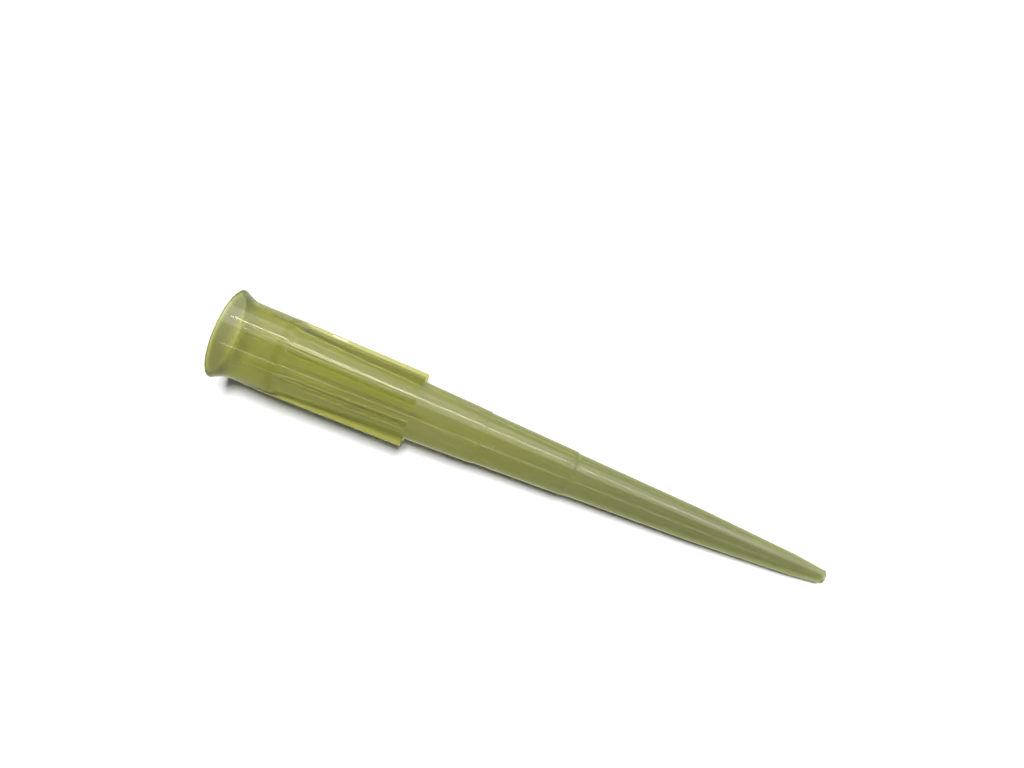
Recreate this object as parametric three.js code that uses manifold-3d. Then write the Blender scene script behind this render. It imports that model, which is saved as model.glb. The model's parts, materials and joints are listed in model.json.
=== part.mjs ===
// Pipette tip, 200 microlitre size: one injection moulding in translucent yellow polypropylene.
//
// The moulding is a thin tapered tube. Its wide end is a short flared mouth with a smooth socket
// below it, which takes the nose of the pipette. A step down leads into a collar with eight thin
// fins along it. They start low on the socket, rise as the tube narrows and are cut off square at
// the bottom, so that the tip hangs by them in the holes of a rack. Under the collar the barrel
// narrows in three stages with a small step between them, each step marking a filling volume, and
// ends in a slender nozzle. The bore follows the outside at a near even wall, with two ledges where
// the nose of the pipette seats, and runs out at the fine opening of the nozzle.
//
// Sizes are millimetres. The tube is drawn upright along +Y with the lip at y = 0 and the narrow
// end at the top, and is then laid down on the table z = 0 with its narrow end towards +X. The
// origin is the middle of the finished part's footprint.

import * as THREE from "three";
import { mergeVertices } from "three/addons/utils/BufferGeometryUtils.js";
import Module from "manifold-3d";

const wasm = await Module();
wasm.setup();

// Lengths along the axis, in order from the lip to the narrow end.
const flareLength = 1.12; // outside cone from the lip down to the neck
const neckRound = 0.5; // how far the rounding of the neck reaches each way from its corner
const socketLength = 4.9; // lip face to the step below the socket
const socketStepLength = 1.1;
const collarLength = 15.9; // lip face to the square ends of the fins
const upperStageLength = 5.65;
const middleStageLength = 7.5;
const lowerStageLength = 10.8;
const nozzleLength = 8.0;
const endConeLength = 2.65;

// Outside radii. Everything above the nozzle widens from the barrel's narrow end.
const endRadius = 0.55; // outside of the narrow end
const endConeGain = 0.295; // how much the end cone widens over its length
const barrelEndRadius = 1.345; // where the barrel passes into the nozzle
const barrelTaper = 0.0375; // radius gained for each millimetre towards the mouth
const collarTaper = 0.05; // the same, between the fins
const socketDraft = 0.005; // the same, on the socket
const lowerStep = 0.085; // step between the lower and the middle stage
const upperStep = 0.06; // step between the middle and the upper stage
const stepChamfer = 0.12; // length over which a graduation step falls
const socketStep = 0.215; // step between the collar and the socket
const rimOverhang = 0.505; // how far the lip stands out past the socket

// Fins.
const finCount = 8;
const finStart = 2.0; // where the fins come out of the socket's outside
const finHeightOnSocket = 0.09; // where the socket ends
const finHeightAtEnd = 0.7;
const finWidth = 0.45;
const finEdgeRound = 0.09;

// Bore and walls.
const orificeRadius = 0.25;
const nozzleWall = 0.38; // at the top of the end cone
const barrelWall = 0.42;
const socketWall = 0.39; // where the mouth passes into the socket
const socketBoreTaper = 0.04; // radius gained for each millimetre towards the mouth
const lipWall = 0.42;
const mouthLength = 1.4; // inside cone from the lip down to the socket
const mouthRound = 0.4; // how far the rounding at its foot reaches each way
const seatDepth = 5.2; // first ledge in the bore
const seatLength = 0.55; // length over which it slopes
const stopDepth = 9.25; // second, fainter ledge
const stopLedge = 0.04;
const ledgeLength = 0.35; // length over which the other ledges slope
const boreLead = 0.5; // how far a ledge in the bore lies above the step outside it
const edgeRound = 0.12; // rounding of the lip's and the narrow end's edges
const boreOverrun = 1; // how far the bore's core stands out of both ends when it is cut

// How finely the round forms are faceted. A multiple of 4 puts corners at the widest points.
const facetsAround = 72;
const curvePoints = 7;
const edgePoints = 3;

// Places along the axis that follow from those lengths.
const upperStageEnd = collarLength + upperStageLength;
const middleStageEnd = upperStageEnd + middleStageLength;
const barrelEnd = middleStageEnd + lowerStageLength;
const nozzleEnd = barrelEnd + nozzleLength;
const tipLength = nozzleEnd + endConeLength;

// Outside radius of each stretch of the tube at a place along the axis, without fins or mouth.
const lowerStageRadius = (y) => barrelEndRadius + barrelTaper * (barrelEnd - y);
const middleStageRadius = (y) => lowerStageRadius(y) + lowerStep;
const upperStageRadius = (y) => middleStageRadius(y) + upperStep;
const collarEndRadius = upperStageRadius(collarLength);
const collarRadius = (y) => collarEndRadius + collarTaper * (collarLength - y);
const socketEndRadius = collarRadius(socketLength) + socketStep;
const socketOutside = (y) => socketEndRadius + socketDraft * (socketLength - y);

const crestOnSocket = socketEndRadius + finHeightOnSocket;
const crestAtEnd = collarEndRadius + finHeightAtEnd;
const rimRadius = socketOutside(flareLength) + rimOverhang;
const mouthRadius = rimRadius - lipWall;
const nozzleEndRadius = endRadius + endConeGain;

// Bore radius in the socket and on either side of the second ledge.
const socketBoreEnd = socketOutside(mouthLength) - socketWall;
const socketBore = (y) => socketBoreEnd - socketBoreTaper * (y - mouthLength);
const collarBore = (y) => collarRadius(y) - barrelWall;
const seatBore = (y) => collarBore(y) + stopLedge;

const at = (radius, y) => new THREE.Vector2(radius, y);

// A quarter round that replaces the corner of a profile, from one tangent point to the other.
function roundedCorner(start, corner, end) {
  return new THREE.QuadraticBezierCurve(start, corner, end).getPoints(edgePoints);
}

// A cone from the edge of the lip to a tapered wall that it meets at the given depth, with the
// corner between them rounded.
function flare(lipRadius, wallRadius, depth, round) {
  const slope = (lipRadius - wallRadius(depth)) / (depth - edgeRound);
  const curve = new THREE.QuadraticBezierCurve(
    at(wallRadius(depth) + slope * round, depth - round),
    at(wallRadius(depth), depth),
    at(wallRadius(depth + round), depth + round),
  );
  return curve.getPoints(curvePoints);
}

// A smooth step from one tapered wall to a narrower one, hollow and round alike.
function easedStep(top, length, radiusAbove, radiusBelow) {
  const middle = top + length / 2;
  const curve = new THREE.CubicBezierCurve(
    at(radiusAbove(top), top),
    at(radiusAbove(middle), middle),
    at(radiusBelow(middle), middle),
    at(radiusBelow(top + length), top + length),
  );
  return curve.getPoints(curvePoints);
}

// Outside of the tube from the lip face to the end face.
function outsideProfile() {
  return [
    ...roundedCorner(
      at(rimRadius - edgeRound, 0),
      at(rimRadius, 0),
      at(rimRadius, edgeRound),
    ),
    ...flare(rimRadius, socketOutside, flareLength, neckRound),
    ...easedStep(socketLength, socketStepLength, socketOutside, collarRadius),
    at(collarEndRadius, collarLength),
    at(upperStageRadius(upperStageEnd), upperStageEnd),
    at(middleStageRadius(upperStageEnd + stepChamfer), upperStageEnd + stepChamfer),
    at(middleStageRadius(middleStageEnd), middleStageEnd),
    at(lowerStageRadius(middleStageEnd + stepChamfer), middleStageEnd + stepChamfer),
    at(barrelEndRadius, barrelEnd),
    at(nozzleEndRadius, nozzleEnd),
    ...roundedCorner(
      at(endRadius, tipLength - edgeRound),
      at(endRadius, tipLength),
      at(endRadius - edgeRound, tipLength),
    ),
  ];
}

// A ledge in the bore: it narrows from one wall to the next.
function ledge(top, length, radiusAbove, radiusBelow) {
  const bottom = top + length;
  return [at(radiusAbove(top), top), at(radiusBelow(bottom), bottom)];
}

// The bore from the lip face to the end face.
function boreProfile() {
  return [
    ...roundedCorner(
      at(mouthRadius + edgeRound, 0),
      at(mouthRadius, 0),
      at(mouthRadius, edgeRound),
    ),
    ...flare(mouthRadius, socketBore, mouthLength, mouthRound),
    ...ledge(seatDepth, seatLength, socketBore, seatBore),
    ...ledge(stopDepth, ledgeLength, seatBore, collarBore),
    at(collarBore(collarLength), collarLength),
    ...ledge(
      upperStageEnd - boreLead,
      ledgeLength,
      (y) => upperStageRadius(y) - barrelWall,
      (y) => middleStageRadius(y) - barrelWall,
    ),
    ...ledge(
      middleStageEnd - boreLead,
      ledgeLength,
      (y) => middleStageRadius(y) - barrelWall,
      (y) => lowerStageRadius(y) - barrelWall,
    ),
    at(barrelEndRadius - barrelWall, barrelEnd),
    at(nozzleEndRadius - nozzleWall, nozzleEnd),
    at(orificeRadius, tipLength),
  ];
}

// A closed solid for the joins and cuts below: shared vertices merged, only positions kept, and
// the triangles left out that shrink to nothing where a profile meets the axis.
function solidOf(geometry) {
  geometry.deleteAttribute("normal");
  geometry.deleteAttribute("uv");
  const merged = mergeVertices(geometry);
  const corners = merged.index.array;
  const triangles = [];
  for (let i = 0; i < corners.length; i += 3) {
    const [a, b, c] = corners.subarray(i, i + 3);
    if (a !== b && b !== c && c !== a) triangles.push(a, b, c);
  }
  return new wasm.Manifold(
    new wasm.Mesh({
      numProp: 3,
      vertProperties: merged.attributes.position.array,
      triVerts: Uint32Array.from(triangles),
    }),
  );
}

const revolved = (profile) => solidOf(new THREE.LatheGeometry(profile, facetsAround));

// The tube before it is hollowed.
function tubeBlank() {
  return revolved([at(0, 0), ...outsideProfile(), at(0, tipLength)]);
}

// What is cut out of it: the bore, run out past both end faces.
function boreCore() {
  const wayIn = at(mouthRadius + edgeRound, -boreOverrun);
  const wayOut = at(orificeRadius, tipLength + boreOverrun);
  return revolved([at(0, wayIn.y), wayIn, ...boreProfile(), wayOut, at(0, wayOut.y)]);
}

// One fin: a thin plate standing out of the tube blank, with rounded edges. Its root lies deep in
// the blank, where the bore takes it away. Its crest comes out of the socket, rises to the step
// and falls away again slowly to the square end at the bottom of the collar.
function fin(turn) {
  const rootRadius = collarEndRadius / 2;
  const outline = new THREE.Shape([
    at(rootRadius, finStart),
    at(socketOutside(finStart), finStart),
    at(crestOnSocket, socketLength),
    at(crestAtEnd, collarLength),
    at(rootRadius, collarLength),
  ]);
  const flat = finWidth - 2 * finEdgeRound;
  const plate = new THREE.ExtrudeGeometry(outline, {
    depth: flat,
    bevelThickness: finEdgeRound,
    bevelSize: finEdgeRound,
    bevelOffset: -finEdgeRound,
    bevelSegments: edgePoints,
  });
  plate.translate(0, 0, -flat / 2);
  plate.rotateY(turn);
  return solidOf(plate);
}

// The whole moulding. Two fins lie side by side at the bottom, at equal angles from straight down.
function moulding() {
  let solid = tubeBlank();
  for (let i = 0; i < finCount; i++) {
    solid = solid.add(fin(((i + 0.5) * 2 * Math.PI) / finCount));
  }
  solid = solid.subtract(boreCore());
  const { vertProperties, triVerts } = solid.getMesh();
  const geometry = new THREE.BufferGeometry();
  geometry.setAttribute("position", new THREE.BufferAttribute(vertProperties, 3));
  geometry.setIndex(new THREE.BufferAttribute(triVerts, 1));
  return geometry;
}

// Centre of mass of a closed body, from the signed tetrahedra between its faces and the origin.
function centreOfMass(geometry) {
  const corners = geometry.attributes.position;
  const index = geometry.index.array;
  const [a, b, c] = [0, 1, 2].map(() => new THREE.Vector3());
  const moment = new THREE.Vector3();
  let volume = 0;
  for (let i = 0; i < index.length; i += 3) {
    a.fromBufferAttribute(corners, index[i]);
    b.fromBufferAttribute(corners, index[i + 1]);
    c.fromBufferAttribute(corners, index[i + 2]);
    const part = a.dot(new THREE.Vector3().crossVectors(b, c)) / 6;
    moment.addScaledVector(a.add(b).add(c), part / 4);
    volume += part;
  }
  return moment.divideScalar(volume);
}

// The edge that a body lying along +X stands on: of the lower outline of its side view, the
// stretch under its centre of mass.
function restingEdge(geometry) {
  const corners = geometry.attributes.position;
  const points = [];
  for (let i = 0; i < corners.count; i++) {
    points.push(at(corners.getX(i), corners.getZ(i)));
  }
  points.sort((p, q) => p.x - q.x || p.y - q.y);
  const lower = [];
  for (const point of points) {
    while (lower.length > 1) {
      const last = lower.at(-1).clone();
      const before = lower.at(-2);
      if (last.sub(before).cross(point.clone().sub(before)) > 0) break;
      lower.pop();
    }
    lower.push(point);
  }
  const centre = centreOfMass(geometry).x;
  const next = lower.findIndex((point) => point.x > centre);
  return [lower[next - 1], lower[next]];
}

// Laid down as it comes to rest: axis along +X, then turned until its resting edge is level, then
// moved until that edge is on z = 0 and the box is centred on the origin.
function laidDown(geometry) {
  geometry.rotateZ(-Math.PI / 2);
  const [heel, toe] = restingEdge(geometry);
  geometry.rotateY(Math.atan2(toe.y - heel.y, toe.x - heel.x));
  geometry.computeBoundingBox();
  const { min, max } = geometry.boundingBox;
  geometry.translate(-(min.x + max.x) / 2, -(min.y + max.y) / 2, -min.z);
  return geometry;
}

const polypropylene = new THREE.MeshStandardMaterial({
  name: "polypropylene",
  color: "#b3b567",
  roughness: 0.38,
  metalness: 0,
});

const tip = new THREE.Mesh(laidDown(moulding()), polypropylene);
tip.name = "pipette_tip";

const part = new THREE.Group();
part.add(tip);

export default part;
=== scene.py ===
import json
import math

import bpy
from mathutils import Matrix, Vector


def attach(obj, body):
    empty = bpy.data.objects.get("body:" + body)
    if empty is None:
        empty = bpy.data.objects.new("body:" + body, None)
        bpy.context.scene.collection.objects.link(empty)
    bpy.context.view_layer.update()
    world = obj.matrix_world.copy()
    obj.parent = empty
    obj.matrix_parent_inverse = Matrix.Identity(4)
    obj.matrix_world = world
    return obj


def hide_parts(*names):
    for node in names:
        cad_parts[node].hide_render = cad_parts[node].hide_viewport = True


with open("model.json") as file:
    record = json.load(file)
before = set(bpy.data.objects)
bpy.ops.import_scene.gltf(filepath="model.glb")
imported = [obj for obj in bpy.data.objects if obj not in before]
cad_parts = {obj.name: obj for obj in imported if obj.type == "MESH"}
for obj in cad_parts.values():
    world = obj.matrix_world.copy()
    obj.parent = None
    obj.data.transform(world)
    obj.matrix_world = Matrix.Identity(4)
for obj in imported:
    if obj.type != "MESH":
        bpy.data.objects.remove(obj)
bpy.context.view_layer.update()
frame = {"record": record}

# ---------------------------------------------------------------------------------------------
# Pipette tip. One moulding in translucent yellow polypropylene: a flared mouth, a collar with
# eight fins, a barrel in three stages, a slender nozzle, and the bore through them all.
# Its wall is drawn as rings of points, down the outside from the lip and back up the bore.

mm = 0.001

# Places along the axis, measured from the lip face.
flare_length = 1.12 * mm
mouth_length = 1.4 * mm
socket_length = 4.9 * mm
seat_depth = 5.2 * mm
stop_depth = 9.25 * mm
collar_length = 15.9 * mm
upper_stage_end = collar_length + 5.65 * mm
middle_stage_end = upper_stage_end + 7.5 * mm
barrel_end = middle_stage_end + 10.8 * mm
nozzle_end = barrel_end + 8.0 * mm
tip_length = nozzle_end + 2.65 * mm
neck_round = 0.5 * mm
mouth_round = 0.4 * mm
socket_step_length = 1.1 * mm
step_chamfer = 0.12 * mm
seat_length = 0.55 * mm
ledge_length = 0.35 * mm
bore_lead = 0.5 * mm

# Radii and walls.
end_radius = 0.55 * mm
nozzle_end_radius = end_radius + 0.295 * mm
barrel_end_radius = 1.345 * mm
barrel_taper = 0.0375
collar_taper = 0.05
socket_draft = 0.005
lower_step = 0.085 * mm
upper_step = 0.06 * mm
socket_step = 0.215 * mm
rim_overhang = 0.505 * mm
orifice_radius = 0.25 * mm
nozzle_wall = 0.38 * mm
barrel_wall = 0.42 * mm
socket_wall = 0.39 * mm
socket_bore_taper = 0.04
lip_wall = 0.42 * mm
stop_ledge = 0.04 * mm
edge_round = 0.12 * mm

# Fins, with a little draft from the root to the crest.
fin_count = 8
fin_pitch = 2 * math.pi / fin_count
fin_start = 2.0 * mm
fin_height_on_socket = 0.09 * mm
fin_height_at_end = 0.70 * mm
crest_half_width = 0.21 * mm
root_half_width = 0.24 * mm
crest_round = 0.11 * mm
root_round = 0.16 * mm

# Where a fin is low, its roundings keep at least this share of their width.
least_rounding = 0.3

# Steps across half a crest, round a quarter turn, down a fin's end face and across half a valley.
crest_steps = 3
round_steps = 4
face_steps = 3
valley_steps = 8
quarter_turn = [math.pi / 2 * i / round_steps for i in range(round_steps + 1)]


def lower_stage_radius(y):
    return barrel_end_radius + barrel_taper * (barrel_end - y)


def middle_stage_radius(y):
    return lower_stage_radius(y) + lower_step


def upper_stage_radius(y):
    return middle_stage_radius(y) + upper_step


def collar_radius(y):
    return upper_stage_radius(collar_length) + collar_taper * (collar_length - y)


socket_end_radius = collar_radius(socket_length) + socket_step
crest_on_socket = socket_end_radius + fin_height_on_socket
crest_at_end = collar_radius(collar_length) + fin_height_at_end


def socket_outside(y):
    return socket_end_radius + socket_draft * (socket_length - y)


rim_radius = socket_outside(flare_length) + rim_overhang
mouth_radius = rim_radius - lip_wall
socket_bore_end = socket_outside(mouth_length) - socket_wall


def between(a, b, share):
    return a + (b - a) * share


def crest_radius(y):
    """Crest of the fins: it climbs out of the socket, then falls away slowly to the end."""
    if y < socket_length:
        share = (y - fin_start) / (socket_length - fin_start)
        return between(socket_outside(fin_start), crest_on_socket, share)
    share = (y - socket_length) / (collar_length - socket_length)
    return between(crest_on_socket, crest_at_end, share)


def ramp(x, start, end):
    """0 at start, 1 at end, a smooth change between them, and held beyond both."""
    t = min(max((x - start) / (end - start), 0), 1)
    return t * t * (3 - 2 * t)


def curve(start, corner, end, steps):
    """Points of a quadratic curve between two tangent points, both ends included."""
    points = []
    for i in range(steps + 1):
        t = i / steps
        first = [between(a, b, t) for a, b in zip(start, corner)]
        second = [between(a, b, t) for a, b in zip(corner, end)]
        points.append(tuple(between(a, b, t) for a, b in zip(first, second)))
    return points


def straight(points, end, steps):
    """Adds evenly spaced points from the last one to a new end."""
    start = points[-1]
    for i in range(1, steps + 1):
        points.append(tuple(between(a, b, i / steps) for a, b in zip(start, end)))


def flare(points, wall_radius, depth, rounding, steps):
    """Adds a cone from the last point to a tapered wall, with the corner between them rounded."""
    place, radius = points[-1]
    slope = (radius - wall_radius(depth)) / (depth - place)
    corner = (depth, wall_radius(depth))
    start = (depth - rounding, corner[1] + slope * rounding)
    end = (depth + rounding, wall_radius(depth + rounding))
    straight(points, start, steps)
    points += curve(start, corner, end, steps)[1:]


def eased_step(points, length, wall_radius, steps):
    """Adds a smooth step from the last point to a narrower tapered wall."""
    place, radius = points[-1]
    middle = place + length / 2
    end = (place + length, wall_radius(place + length))
    centre = (middle, (radius + end[1]) / 2)
    points += curve((place, radius), (place + length / 4, radius), centre, steps)[1:]
    points += curve(centre, (end[0] - length / 4, end[1]), end, steps)[1:]


def outside_profile():
    """(place, radius) from the lip face down to the collar's end, without the fins."""
    points = curve((0, rim_radius - edge_round), (0, rim_radius), (edge_round, rim_radius), 5)
    flare(points, socket_outside, flare_length, neck_round, 10)
    straight(points, (socket_length, socket_outside(socket_length)), 10)
    eased_step(points, socket_step_length, collar_radius, 8)
    straight(points, (collar_length - crest_round, collar_radius(collar_length - crest_round)), 30)
    return points


def barrel_profile():
    """(place, radius) from just below the fins to the end face."""
    start = collar_length + root_round
    points = [(start, upper_stage_radius(start))]
    straight(points, (upper_stage_end, upper_stage_radius(upper_stage_end)), 14)
    place = upper_stage_end + step_chamfer
    straight(points, (place, middle_stage_radius(place)), 2)
    straight(points, (middle_stage_end, middle_stage_radius(middle_stage_end)), 16)
    place = middle_stage_end + step_chamfer
    straight(points, (place, lower_stage_radius(place)), 2)
    straight(points, (barrel_end, barrel_end_radius), 22)
    straight(points, (nozzle_end, nozzle_end_radius), 16)
    straight(points, (tip_length - edge_round, end_radius), 7)
    inner = (tip_length, end_radius - edge_round)
    points += curve(points[-1], (tip_length, end_radius), inner, 4)[1:]
    return points


def socket_bore(y):
    return socket_bore_end - socket_bore_taper * (y - mouth_length)


def collar_bore(y):
    return collar_radius(y) - barrel_wall


def seat_bore(y):
    return collar_bore(y) + stop_ledge


def upper_bore(y):
    return upper_stage_radius(y) - barrel_wall


def middle_bore(y):
    return middle_stage_radius(y) - barrel_wall


def lower_bore(y):
    return lower_stage_radius(y) - barrel_wall


def bore_profile():
    """(place, radius) from the end face back up to the lip face."""
    points = [(0, mouth_radius + edge_round)]
    points += curve(points[0], (0, mouth_radius), (edge_round, mouth_radius), 5)[1:]
    flare(points, socket_bore, mouth_length, mouth_round, 10)
    walls = [
        (seat_depth, seat_length, socket_bore, seat_bore),
        (stop_depth, ledge_length, seat_bore, collar_bore),
        (collar_length, 0, collar_bore, upper_bore),
        (upper_stage_end - bore_lead, ledge_length, upper_bore, middle_bore),
        (middle_stage_end - bore_lead, ledge_length, middle_bore, lower_bore),
    ]
    for place, length, wall, next_wall in walls:
        straight(points, (place, wall(place)), 8)
        if length:
            straight(points, (place + length, next_wall(place + length)), 3)
    straight(points, (barrel_end, barrel_end_radius - barrel_wall), 12)
    straight(points, (nozzle_end, nozzle_end_radius - nozzle_wall), 8)
    straight(points, (tip_length, orifice_radius), 4)
    return points[::-1]


def half_fin(height, inset):
    """One side of a fin's cross-section from the middle of its crest to the foot of its root:
    (distance aside, height over the tube). Roundings shrink where the fin is low."""
    fit = min(1, height / (crest_round + root_round))
    aside = max(fit, least_rounding)
    crest = crest_half_width - inset
    root = root_half_width - inset
    flat = crest - crest_round * aside
    points = [(flat * i / crest_steps, height) for i in range(crest_steps)]
    for turn in quarter_turn:
        out = crest - crest_round * aside * (1 - math.sin(turn))
        points.append((out, height - crest_round * fit * (1 - math.cos(turn))))
    for turn in quarter_turn:
        out = root + root_round * aside * (1 - math.cos(turn))
        points.append((out, root_round * fit * (1 - math.sin(turn))))
    return points


def ring(place, radius, height=0, inset=0, finned=1):
    """One ring of points round the axis, which runs along +X. finned slides the points from even
    spacing, at 0, to a fin's own spacing, at 1."""
    outline = half_fin(height, inset)
    half = [(math.asin(min(1, aside / (radius + up))), radius + up) for aside, up in outline]
    foot = half[-1][0]
    for i in range(1, valley_steps + 1):
        half.append((between(foot, fin_pitch / 2, i / valley_steps), radius))
    even = fin_pitch / 2 / (len(half) - 1)
    half = [(between(even * i, turn, finned), r) for i, (turn, r) in enumerate(half)]
    points = []
    for fin in range(fin_count):
        middle = (fin + 0.5) * fin_pitch
        sector = [(middle - turn, r) for turn, r in half[:0:-1]]
        sector += [(middle + turn, r) for turn, r in half[:-1]]
        points += [(place, r * math.sin(turn), r * math.cos(turn)) for turn, r in sector]
    return points


def wall_rings():
    """All rings of the moulding in order, down the outside and back up the bore."""
    rings = []
    for place, radius in outside_profile():
        height = max(0, crest_radius(place) - radius)
        rings.append(ring(place, radius, height, 0, ramp(place, edge_round, flare_length / 2)))
    # The fins' ends: rounded over at the crest, square below it, and rounded into the barrel.
    foot = collar_radius(collar_length)
    for turn in quarter_turn[1:]:
        inset = crest_round * (1 - math.cos(turn))
        place = collar_length - crest_round * (1 - math.sin(turn))
        rings.append(ring(place, foot, fin_height_at_end - inset, inset))
    end_height = fin_height_at_end - crest_round
    for i in range(1, face_steps + 1):
        height = between(end_height, root_round, i / face_steps)
        rings.append(ring(collar_length, foot, height, crest_round))
    for turn in quarter_turn[1:-1]:
        place = collar_length + root_round * (1 - math.cos(turn))
        height = root_round * (1 - math.sin(turn))
        rings.append(ring(place, upper_stage_radius(place), height, crest_round))
    for place, radius in barrel_profile():
        fade = ramp(place, upper_stage_end, collar_length + root_round)
        rings.append(ring(place, radius, 0, crest_round, fade))
    for place, radius in bore_profile():
        rings.append(ring(place, radius, 0, 0, 0))
    return rings


sharp_edge = math.radians(40)


def moulding(name):
    """The closed skin: each ring is joined to the next one, and the last to the first."""
    rings = wall_rings()
    around = len(rings[0])
    corners = [point for points in rings for point in points]
    faces = []
    for i in range(len(rings)):
        here = i * around
        after = (i + 1) % len(rings) * around
        for j in range(around):
            k = (j + 1) % around
            faces.append((here + j, after + j, after + k, here + k))
    mesh = bpy.data.meshes.new(name)
    mesh.from_pydata(corners, [], faces)
    mesh.validate()
    mesh.shade_smooth()
    mesh.set_sharp_from_angle(angle=sharp_edge)
    return bpy.data.objects.new(name, mesh)


def lay_down(piece):
    """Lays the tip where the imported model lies: its axis runs against the outward normal of the
    lip's face, its lowest points touch the table and its box is centred."""
    rim = next(m for m in frame["record"]["mounts"] if m["name"] == "rim_face")
    axis = -Vector(rim["axis"])
    piece.data.transform(Vector((1, 0, 0)).rotation_difference(axis).to_matrix().to_4x4())
    xs = [v.co.x for v in piece.data.vertices]
    zs = [v.co.z for v in piece.data.vertices]
    lip_centre = Vector((-(min(xs) + max(xs)) / 2, 0, -min(zs)))
    piece.data.transform(Matrix.Translation(lip_centre))
    return axis, lip_centre


tip = moulding("pipette_tip_moulding")
bpy.context.scene.collection.objects.link(tip)
tip_axis, lip_centre = lay_down(tip)


def set_input(node, name, value):
    node.inputs[name].default_value = value


# The plastic: tinted right through, a little hazy inside and glossy outside. The mouth is
# painted darker and greyer, as painted shade inside the flare. The nozzle is greyer, the lip and
# the collar deeper in colour, and faint streaks run the way the melt flowed.
plastic = bpy.data.materials.new("yellow_polypropylene")
plastic.use_nodes = True
nodes = plastic.node_tree.nodes
links = plastic.node_tree.links
shader = nodes["Principled BSDF"]
set_input(shader, "IOR", 1.12)
set_input(shader, "Transmission Weight", 0.8)
set_input(shader, "Subsurface Weight", 1.0)
set_input(shader, "Subsurface Radius", (1, 1, 0.6))
set_input(shader, "Subsurface Scale", 1.2 * mm)
set_input(shader, "Specular IOR Level", 0.0)
set_input(shader, "Coat Roughness", 0.02)
set_input(shader, "Coat IOR", 1.49)

# The dye soaks up blue light about twice as fast as red and green.
dye = nodes.new("ShaderNodeVolumeAbsorption")
set_input(dye, "Color", (0.52, 0.55, 0.08, 1))
set_input(dye, "Density", 1 / mm)
links.new(dye.outputs["Volume"], nodes["Material Output"].inputs["Volume"])

# Positions are taken in millimetres along the tip's axis from the lip face, and across it.
position = nodes.new("ShaderNodeTexCoord")
along_tip = nodes.new("ShaderNodeMapping")
along_tip.vector_type = "TEXTURE"
set_input(along_tip, "Location", lip_centre)
set_input(along_tip, "Rotation", Vector((1, 0, 0)).rotation_difference(tip_axis).to_euler())
set_input(along_tip, "Scale", (mm, mm, mm))
links.new(position.outputs["Object"], along_tip.inputs["Vector"])
parts = nodes.new("ShaderNodeSeparateXYZ")
links.new(along_tip.outputs["Vector"], parts.inputs["Vector"])
depth = parts.outputs["X"]


def spread(name, value, low, high, to_low=0, to_high=1):
    """Maps a value smoothly from one range to another, and holds it outside the range."""
    tree = value.id_data
    node = tree.nodes.new("ShaderNodeMapRange")
    node.name = name
    node.interpolation_type = "SMOOTHSTEP"
    set_input(node, "From Min", low)
    set_input(node, "From Max", high)
    set_input(node, "To Min", to_low)
    set_input(node, "To Max", to_high)
    tree.links.new(value, node.inputs["Value"])
    return node.outputs["Result"]


def noise(name, stretch, scale, detail):
    """Noise per millimetre, drawn out along the axis by the stretch."""
    squeeze = nodes.new("ShaderNodeMapping")
    squeeze.name = name + "_stretch"
    set_input(squeeze, "Scale", (1 / stretch, 1, 1))
    links.new(along_tip.outputs["Vector"], squeeze.inputs["Vector"])
    node = nodes.new("ShaderNodeTexNoise")
    node.name = name
    set_input(node, "Scale", scale)
    set_input(node, "Detail", detail)
    links.new(squeeze.outputs["Vector"], node.inputs["Vector"])
    return node.outputs["Fac"]


def blend(name, share, first, second):
    """Mixes two colours. Each is a socket or a plain colour."""
    tree = share.id_data
    node = tree.nodes.new("ShaderNodeMix")
    node.name = name
    node.data_type = "RGBA"
    for socket, colour in ((node.inputs[6], first), (node.inputs[7], second)):
        if isinstance(colour, tuple):
            socket.default_value = colour
        else:
            tree.links.new(colour, socket)
    tree.links.new(share, node.inputs["Factor"])
    return node.outputs[2]


def combine(operation, *values, clamped=False):
    """Works out one sum. Each value is a socket, the first one always, or a plain number."""
    tree = values[0].id_data
    node = tree.nodes.new("ShaderNodeMath")
    node.operation = operation
    node.use_clamp = clamped
    for socket, value in zip(node.inputs, values):
        if isinstance(value, (int, float)):
            socket.default_value = value
        else:
            tree.links.new(value, socket)
    return node.outputs["Value"]


collar_tint = (0.82, 0.83, 0.32, 1)
barrel_tint = (0.76, 0.77, 0.4, 1)
nozzle_tint = (0.62, 0.64, 0.37, 1)
# Painted shade: the mouth's colour is darker and greyer than the rest of the plastic.
mouth_shade_tint = (0.42, 0.43, 0.22, 1)
streak_tint = (0.72, 0.73, 0.18, 1)
fine_streak_tint = (0.84, 0.84, 0.58, 1)
fin_tint = (0.72, 0.73, 0.16, 1)
speck_tint = (0.95, 0.95, 0.85, 1)
lip_tint = (0.86, 0.88, 0.36, 1)
past_barrel = spread("past_barrel", depth, 16, 42)
past_lip = spread("past_lip", depth, 0.1, 0.35)
past_mouth = spread("past_mouth", depth, 0.8, 2.0)
past_collar = spread("past_collar", depth, 15.6, 16.2)
flow = noise("flow", stretch=14, scale=1.1, detail=3)
streaks = spread("streaks", flow, 0.4, 0.7, 0, 0.8)
fine_flow = noise("fine_flow", stretch=24, scale=3.5, detail=2)
fine_streaks = spread("fine_streaks", fine_flow, 0.5, 0.75, 0, 0.5)

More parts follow.
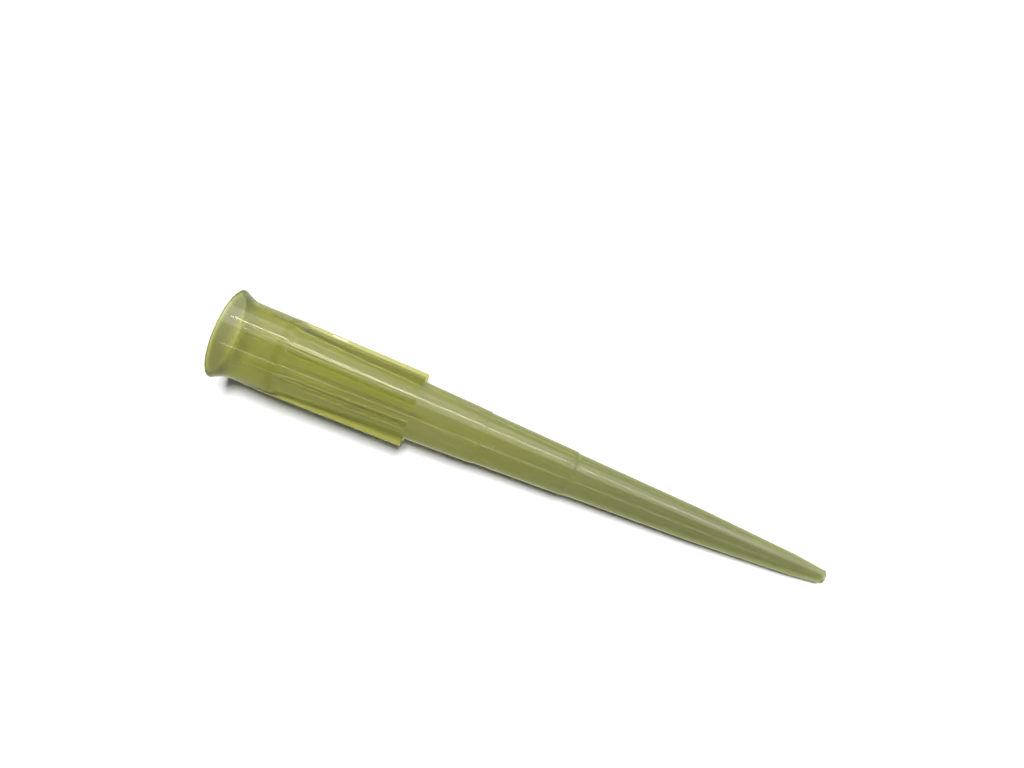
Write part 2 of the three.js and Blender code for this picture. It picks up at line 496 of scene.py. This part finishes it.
# Thick plastic looks deeper: the seat, and the fins by their height over the tapering collar.
across_tip = nodes.new("ShaderNodeVectorMath")
across_tip.operation = "MULTIPLY"
across_tip.inputs[1].default_value = (0, 1, 1)
links.new(along_tip.outputs["Vector"], across_tip.inputs[0])
radius = nodes.new("ShaderNodeVectorMath")
radius.operation = "LENGTH"
links.new(across_tip.outputs["Vector"], radius.inputs[0])
level_radius = combine("MULTIPLY_ADD", depth, collar_taper, radius.outputs["Value"])
level_collar = collar_radius(0) / mm
raised = spread("raised", level_radius, level_collar + 0.03, level_collar + 0.3)
on_fins = spread("on_fins", depth, 5.0, 6.2, 0, 0.3)
fin_body = combine("MULTIPLY", raised, on_fins)
before_seat = spread("before_seat", depth, 4.5, 4.8)
after_seat = spread("after_seat", depth, 5.0, 5.3, 1, 0)
seat_ring = combine("MULTIPLY", before_seat, after_seat)

# A few pale specks.
dots = nodes.new("ShaderNodeTexVoronoi")
set_input(dots, "Scale", 0.45)
links.new(along_tip.outputs["Vector"], dots.inputs["Vector"])
specks = spread("specks", dots.outputs["Distance"], 0.03, 0.06, 1, 0)

tint = blend("collar_colour", past_collar, collar_tint, barrel_tint)
tint = blend("streak_colour", streaks, tint, streak_tint)
tint = blend("fine_colour", fine_streaks, tint, fine_streak_tint)
tint = blend("fin_colour", fin_body, tint, fin_tint)
tint = blend("seat_colour", seat_ring, tint, streak_tint)
tint = blend("speck_colour", specks, tint, speck_tint)
tint = blend("nozzle_colour", past_barrel, tint, nozzle_tint)
# Painted shade: the mouth, up to about 2 mm in from the lip face, is darker and greyer.
tint = blend("mouth_painted_shade", past_mouth, mouth_shade_tint, tint)
tint = blend("lip_colour", past_lip, lip_tint, tint)
links.new(tint, shader.inputs["Base Color"])
haze = noise("haze", stretch=3, scale=0.7, detail=2)
clouds = spread("clouds", haze, 0.3, 0.7, 0.02, 0.06)
links.new(clouds, shader.inputs["Roughness"])

# The gloss is strongest where the wall faces the eye, and fades where it turns away.
edge_on = nodes.new("ShaderNodeLayerWeight")
set_input(edge_on, "Blend", 0.5)
gloss = spread("gloss", edge_on.outputs["Facing"], 0.2, 0.6, 0.6, 0.1)
links.new(gloss, shader.inputs["Coat Weight"])

# The surface waves a little, and fine flow lines split the gloss into threads.
waves = nodes.new("ShaderNodeBump")
set_input(waves, "Strength", 0.06)
set_input(waves, "Distance", 0.02 * mm)
links.new(noise("waves", stretch=10, scale=1.6, detail=2), waves.inputs["Height"])
links.new(waves.outputs["Normal"], shader.inputs["Normal"])
threads = nodes.new("ShaderNodeBump")
set_input(threads, "Strength", 0.12)
set_input(threads, "Distance", 0.01 * mm)
links.new(noise("threads", stretch=24, scale=4.5, detail=2), threads.inputs["Height"])
links.new(waves.outputs["Normal"], threads.inputs["Normal"])
links.new(threads.outputs["Normal"], shader.inputs["Coat Normal"])

tip.data.materials.append(plastic)
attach(tip, "root")
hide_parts("pipette_tip")

# ---------------------------------------------------------------------------------------------
# Table: a plain white sheet that the tip lies on. It shows as pure white and keeps the shadow.
# Through the plastic it shows a painted shadow: white on the lit side and yellowish on the shaded
# side.

table_size = 1.0
edge = table_size / 2
table_corners = [(-edge, -edge, 0), (edge, -edge, 0), (edge, edge, 0), (-edge, edge, 0)]
table_mesh = bpy.data.meshes.new("table")
table_mesh.from_pydata(table_corners, [], [(0, 1, 2, 3)])
table = bpy.data.objects.new("table", table_mesh)
bpy.context.scene.collection.objects.link(table)
paper = bpy.data.materials.new("white_paper")
paper.use_nodes = True
paper_nodes = paper.node_tree.nodes
paper_links = paper.node_tree.links
paper_shader = paper_nodes["Principled BSDF"]
set_input(paper_shader, "Base Color", (0.9, 0.9, 0.9, 1))
set_input(paper_shader, "Roughness", 0.9)
set_input(paper_shader, "Specular IOR Level", 0.0)

# Painted shade: the paper as it shows through the plastic is coloured by its place across the
# table, yellowish on the shaded side and white on the lit.
shadow_tint = (0.67, 0.67, 0.32, 1)
lit_tint = (1.08, 1.08, 1.08, 1)
lit_paper = paper_nodes.new("ShaderNodeEmission")
set_input(lit_paper, "Strength", 1.0)
paper_place = paper_nodes.new("ShaderNodeTexCoord")
sides = paper_nodes.new("ShaderNodeSeparateXYZ")
paper_links.new(paper_place.outputs["Object"], sides.inputs["Vector"])
lit_side = spread("lit_side", sides.outputs["Y"], -3.0 * mm, 1.5 * mm)
paper_links.new(blend("paper_colour", lit_side, shadow_tint, lit_tint), lit_paper.inputs["Color"])

# Only a ray that comes out of the plastic, and hasn't scattered before, meets that paper.
either = paper_nodes.new("ShaderNodeMixShader")
ray = paper_nodes.new("ShaderNodeLightPath")
through = ray.outputs["Is Transmission Ray"]
unscattered = combine("SUBTRACT", through, ray.outputs["Diffuse Depth"], clamped=True)
paper_links.new(unscattered, either.inputs["Fac"])
paper_links.new(paper_shader.outputs["BSDF"], either.inputs[1])
paper_links.new(lit_paper.outputs["Emission"], either.inputs[2])
paper_links.new(either.outputs["Shader"], paper_nodes["Material Output"].inputs["Surface"])
table_mesh.materials.append(paper)

# ---------------------------------------------------------------------------------------------
# Light: lamps are placed by their turn about the tip's axis, from the camera's side of it.
# Negative turns are towards the far side.

# towards points from the tip to the camera, and across to the far side, square to the axis.
camera_lean = math.radians(6.5)
level = Vector((0, 1, 0))
upright = tip_axis.cross(level)
towards = math.cos(camera_lean) * upright + math.sin(camera_lean) * level
across = towards.cross(tip_axis)
tip_middle = lip_centre + tip_axis * tip_length / 2


def lamp(name, turn, distance, width, length, radiance, lit):
    """A rectangular lamp that lies along the tip's axis, faces the tip and lights one piece.
    Its turn is in degrees."""
    light = bpy.data.lights.new(name, "AREA")
    light.shape = "RECTANGLE"
    light.size = length
    light.size_y = width
    light.energy = radiance * math.pi * width * length
    item = bpy.data.objects.new(name, light)
    item.visible_camera = False
    bpy.context.scene.collection.objects.link(item)
    angle = math.radians(turn)
    way = math.cos(angle) * towards - math.sin(angle) * across
    turned = Matrix((tip_axis, way.cross(tip_axis), way)).transposed()
    item.matrix_world = Matrix.Translation(tip_middle + way * distance) @ turned.to_4x4()
    group = bpy.data.collections.new(name + "_lit")
    group.objects.link(lit)
    item.light_linking.receiver_collection = group
    return item


# The tubes draw the long highlights. The window and the far wall give the broad sheen.
for name, turn, width, radiance in (("tube", -53, 0.03, 18), ("second_tube", 27, 0.025, 6.5)):
    tube = lamp(name, turn, distance=0.5, width=width, length=0.5, radiance=radiance, lit=tip)
    tube.visible_diffuse = False
for name, turn, width, radiance in (("window", -60, 0.75, 3.0), ("far_wall", -107, 0.4, 6.0)):
    pane = lamp(name, turn, distance=0.6, width=width, length=1.2, radiance=radiance, lit=tip)
    pane.visible_diffuse = False
    pane.visible_transmission = False

# One lamp keeps the table white and casts the tip's shadow on it.
lamp("table_lamp", -15, distance=3.0, width=0.7, length=0.7, radiance=81, lit=table)

# The soft lamps light the body of the plastic and leave no highlight.
for name, turn, radiance in (("soft_left", -66, 0.62), ("soft_top", 0, 0.6), ("soft_right", 66, 0.3)):
    soft = lamp(name, turn, distance=0.6, width=0.75, length=1.2, radiance=radiance, lit=tip)
    soft.visible_glossy = False
    soft.visible_transmission = False

# The room is white to the camera and to what reflects or bends it, and nearly dark to the rest.
room = bpy.data.worlds.new("room")
room.use_nodes = True
room_nodes = room.node_tree.nodes
set_input(room_nodes["Background"], "Color", (1, 1, 1, 1))
room_dimness = 0.08
ray = room_nodes.new("ShaderNodeLightPath")
white = ray.outputs["Is Camera Ray"]
for way in ("Is Glossy Ray", "Is Transmission Ray"):
    white = combine("MAXIMUM", white, ray.outputs[way])
white = combine("SUBTRACT", white, ray.outputs["Diffuse Depth"], clamped=True)
strength = combine("MAXIMUM", white, room_dimness)
room.node_tree.links.new(strength, room_nodes["Background"].inputs["Strength"])
bpy.context.scene.world = room

# ---------------------------------------------------------------------------------------------
# Camera: it looks down on the tip from close by, square to the tip's axis, a little from the
# far side, and is turned so that the narrow end points down to the right.

camera_height = 74.48 * mm
image_turn = math.radians(22.28)
aim_depth = 22.175 * mm
aim_offset = 4.776 * mm
camera_data = bpy.data.cameras.new("camera")
camera_data.lens = 33.4
camera_data.sensor_width = 36
camera_data.clip_start = 1 * mm
camera = bpy.data.objects.new("camera", camera_data)
bpy.context.scene.collection.objects.link(camera)
eye = lip_centre + tip_axis * aim_depth + across * aim_offset + towards * camera_height
right = math.cos(image_turn) * tip_axis + math.sin(image_turn) * across
up = -math.sin(image_turn) * tip_axis + math.cos(image_turn) * across
turned = Matrix((right, up, towards)).transposed()
camera.matrix_world = Matrix.Translation(eye) @ turned.to_4x4()
bpy.context.scene.camera = camera

bpy.context.scene.view_settings.view_transform = "Standard"
